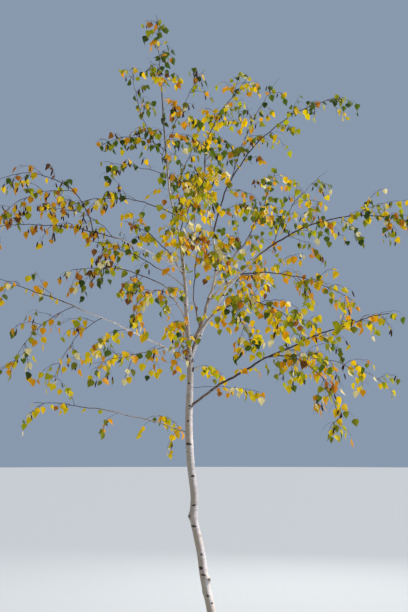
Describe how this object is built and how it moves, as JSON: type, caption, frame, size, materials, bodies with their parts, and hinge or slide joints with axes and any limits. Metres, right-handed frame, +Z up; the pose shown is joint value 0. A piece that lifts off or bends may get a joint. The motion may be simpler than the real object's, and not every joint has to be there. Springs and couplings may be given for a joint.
{
  "type": "birch tree",
  "caption": "Young silver birch with a slender leaning white trunk, thin rising boughs and a light, open crown of small yellow and green autumn leaves.",
  "frame": {"origin": "middle of the trunk's flat cut at ground level", "axes": "+Z up, +X to the right and +Y away from the viewer in the picture"},
  "size_m": [2.7987, 2.131, 4.4186],
  "materials": {
    "bark": "matt, papery white with dark marks",
    "branch_bark": "satin, dark brown, paler near the trunk",
    "foliage": "soft satin, thin leaves from green to golden yellow"
  },
  "bodies": {
    "root": {"bough_back_left": "branch_bark", "bough_back_right": "branch_bark", "bough_centre": "bark", "bough_centre_high": "branch_bark", "bough_centre_right": "branch_bark", "bough_front_high": "branch_bark", "bough_front_left": "branch_bark", "bough_front_right": "branch_bark", "bough_inner": "branch_bark", "bough_left_back": "branch_bark", "bough_left_main": "branch_bark", "bough_left_middle": "branch_bark", "bough_left_rising": "branch_bark", "bough_low_left": "branch_bark", "bough_low_right": "branch_bark", "bough_lowest_left": "branch_bark", "bough_right_main": "bark", "bough_right_middle": "branch_bark", "bough_upper_left": "branch_bark", "bough_upper_right": "branch_bark", "mass_back_left": "foliage", "mass_back_right": "foliage", "mass_centre_front": "foliage", "mass_centre_high": "foliage", "mass_centre_right": "foliage", "mass_front_high": "foliage", "mass_front_left": "foliage", "mass_front_right": "foliage", "mass_front_right_low": "foliage", "mass_high_front": "foliage", "mass_high_left": "foliage", "mass_high_left_back": "foliage", "mass_high_left_rising": "foliage", "mass_high_right": "foliage", "mass_inner": "foliage", "mass_leader": "foliage", "mass_left_back": "foliage", "mass_left_front": "foliage", "mass_left_main": "foliage", "mass_left_middle": "foliage", "mass_left_rising": "foliage", "mass_left_rising_low": "foliage", "mass_low_front": "foliage", "mass_low_left": "foliage", "mass_low_left_end": "foliage", "mass_low_left_hanging": "foliage", "mass_low_left_side": "foliage", "mass_low_right": "foliage", "mass_low_right_back": "foliage", "mass_low_right_front": "foliage", "mass_lowest_left": "foliage", "mass_right_main": "foliage", "mass_right_middle": "foliage", "mass_right_rising": "foliage", "mass_trunk_front": "foliage", "mass_trunk_middle": "foliage", "mass_upper_left": "foliage", "mass_upper_right": "foliage", "mass_upper_right_fork": "foliage", "trunk": "bark"}
  },
  "joints": []
}
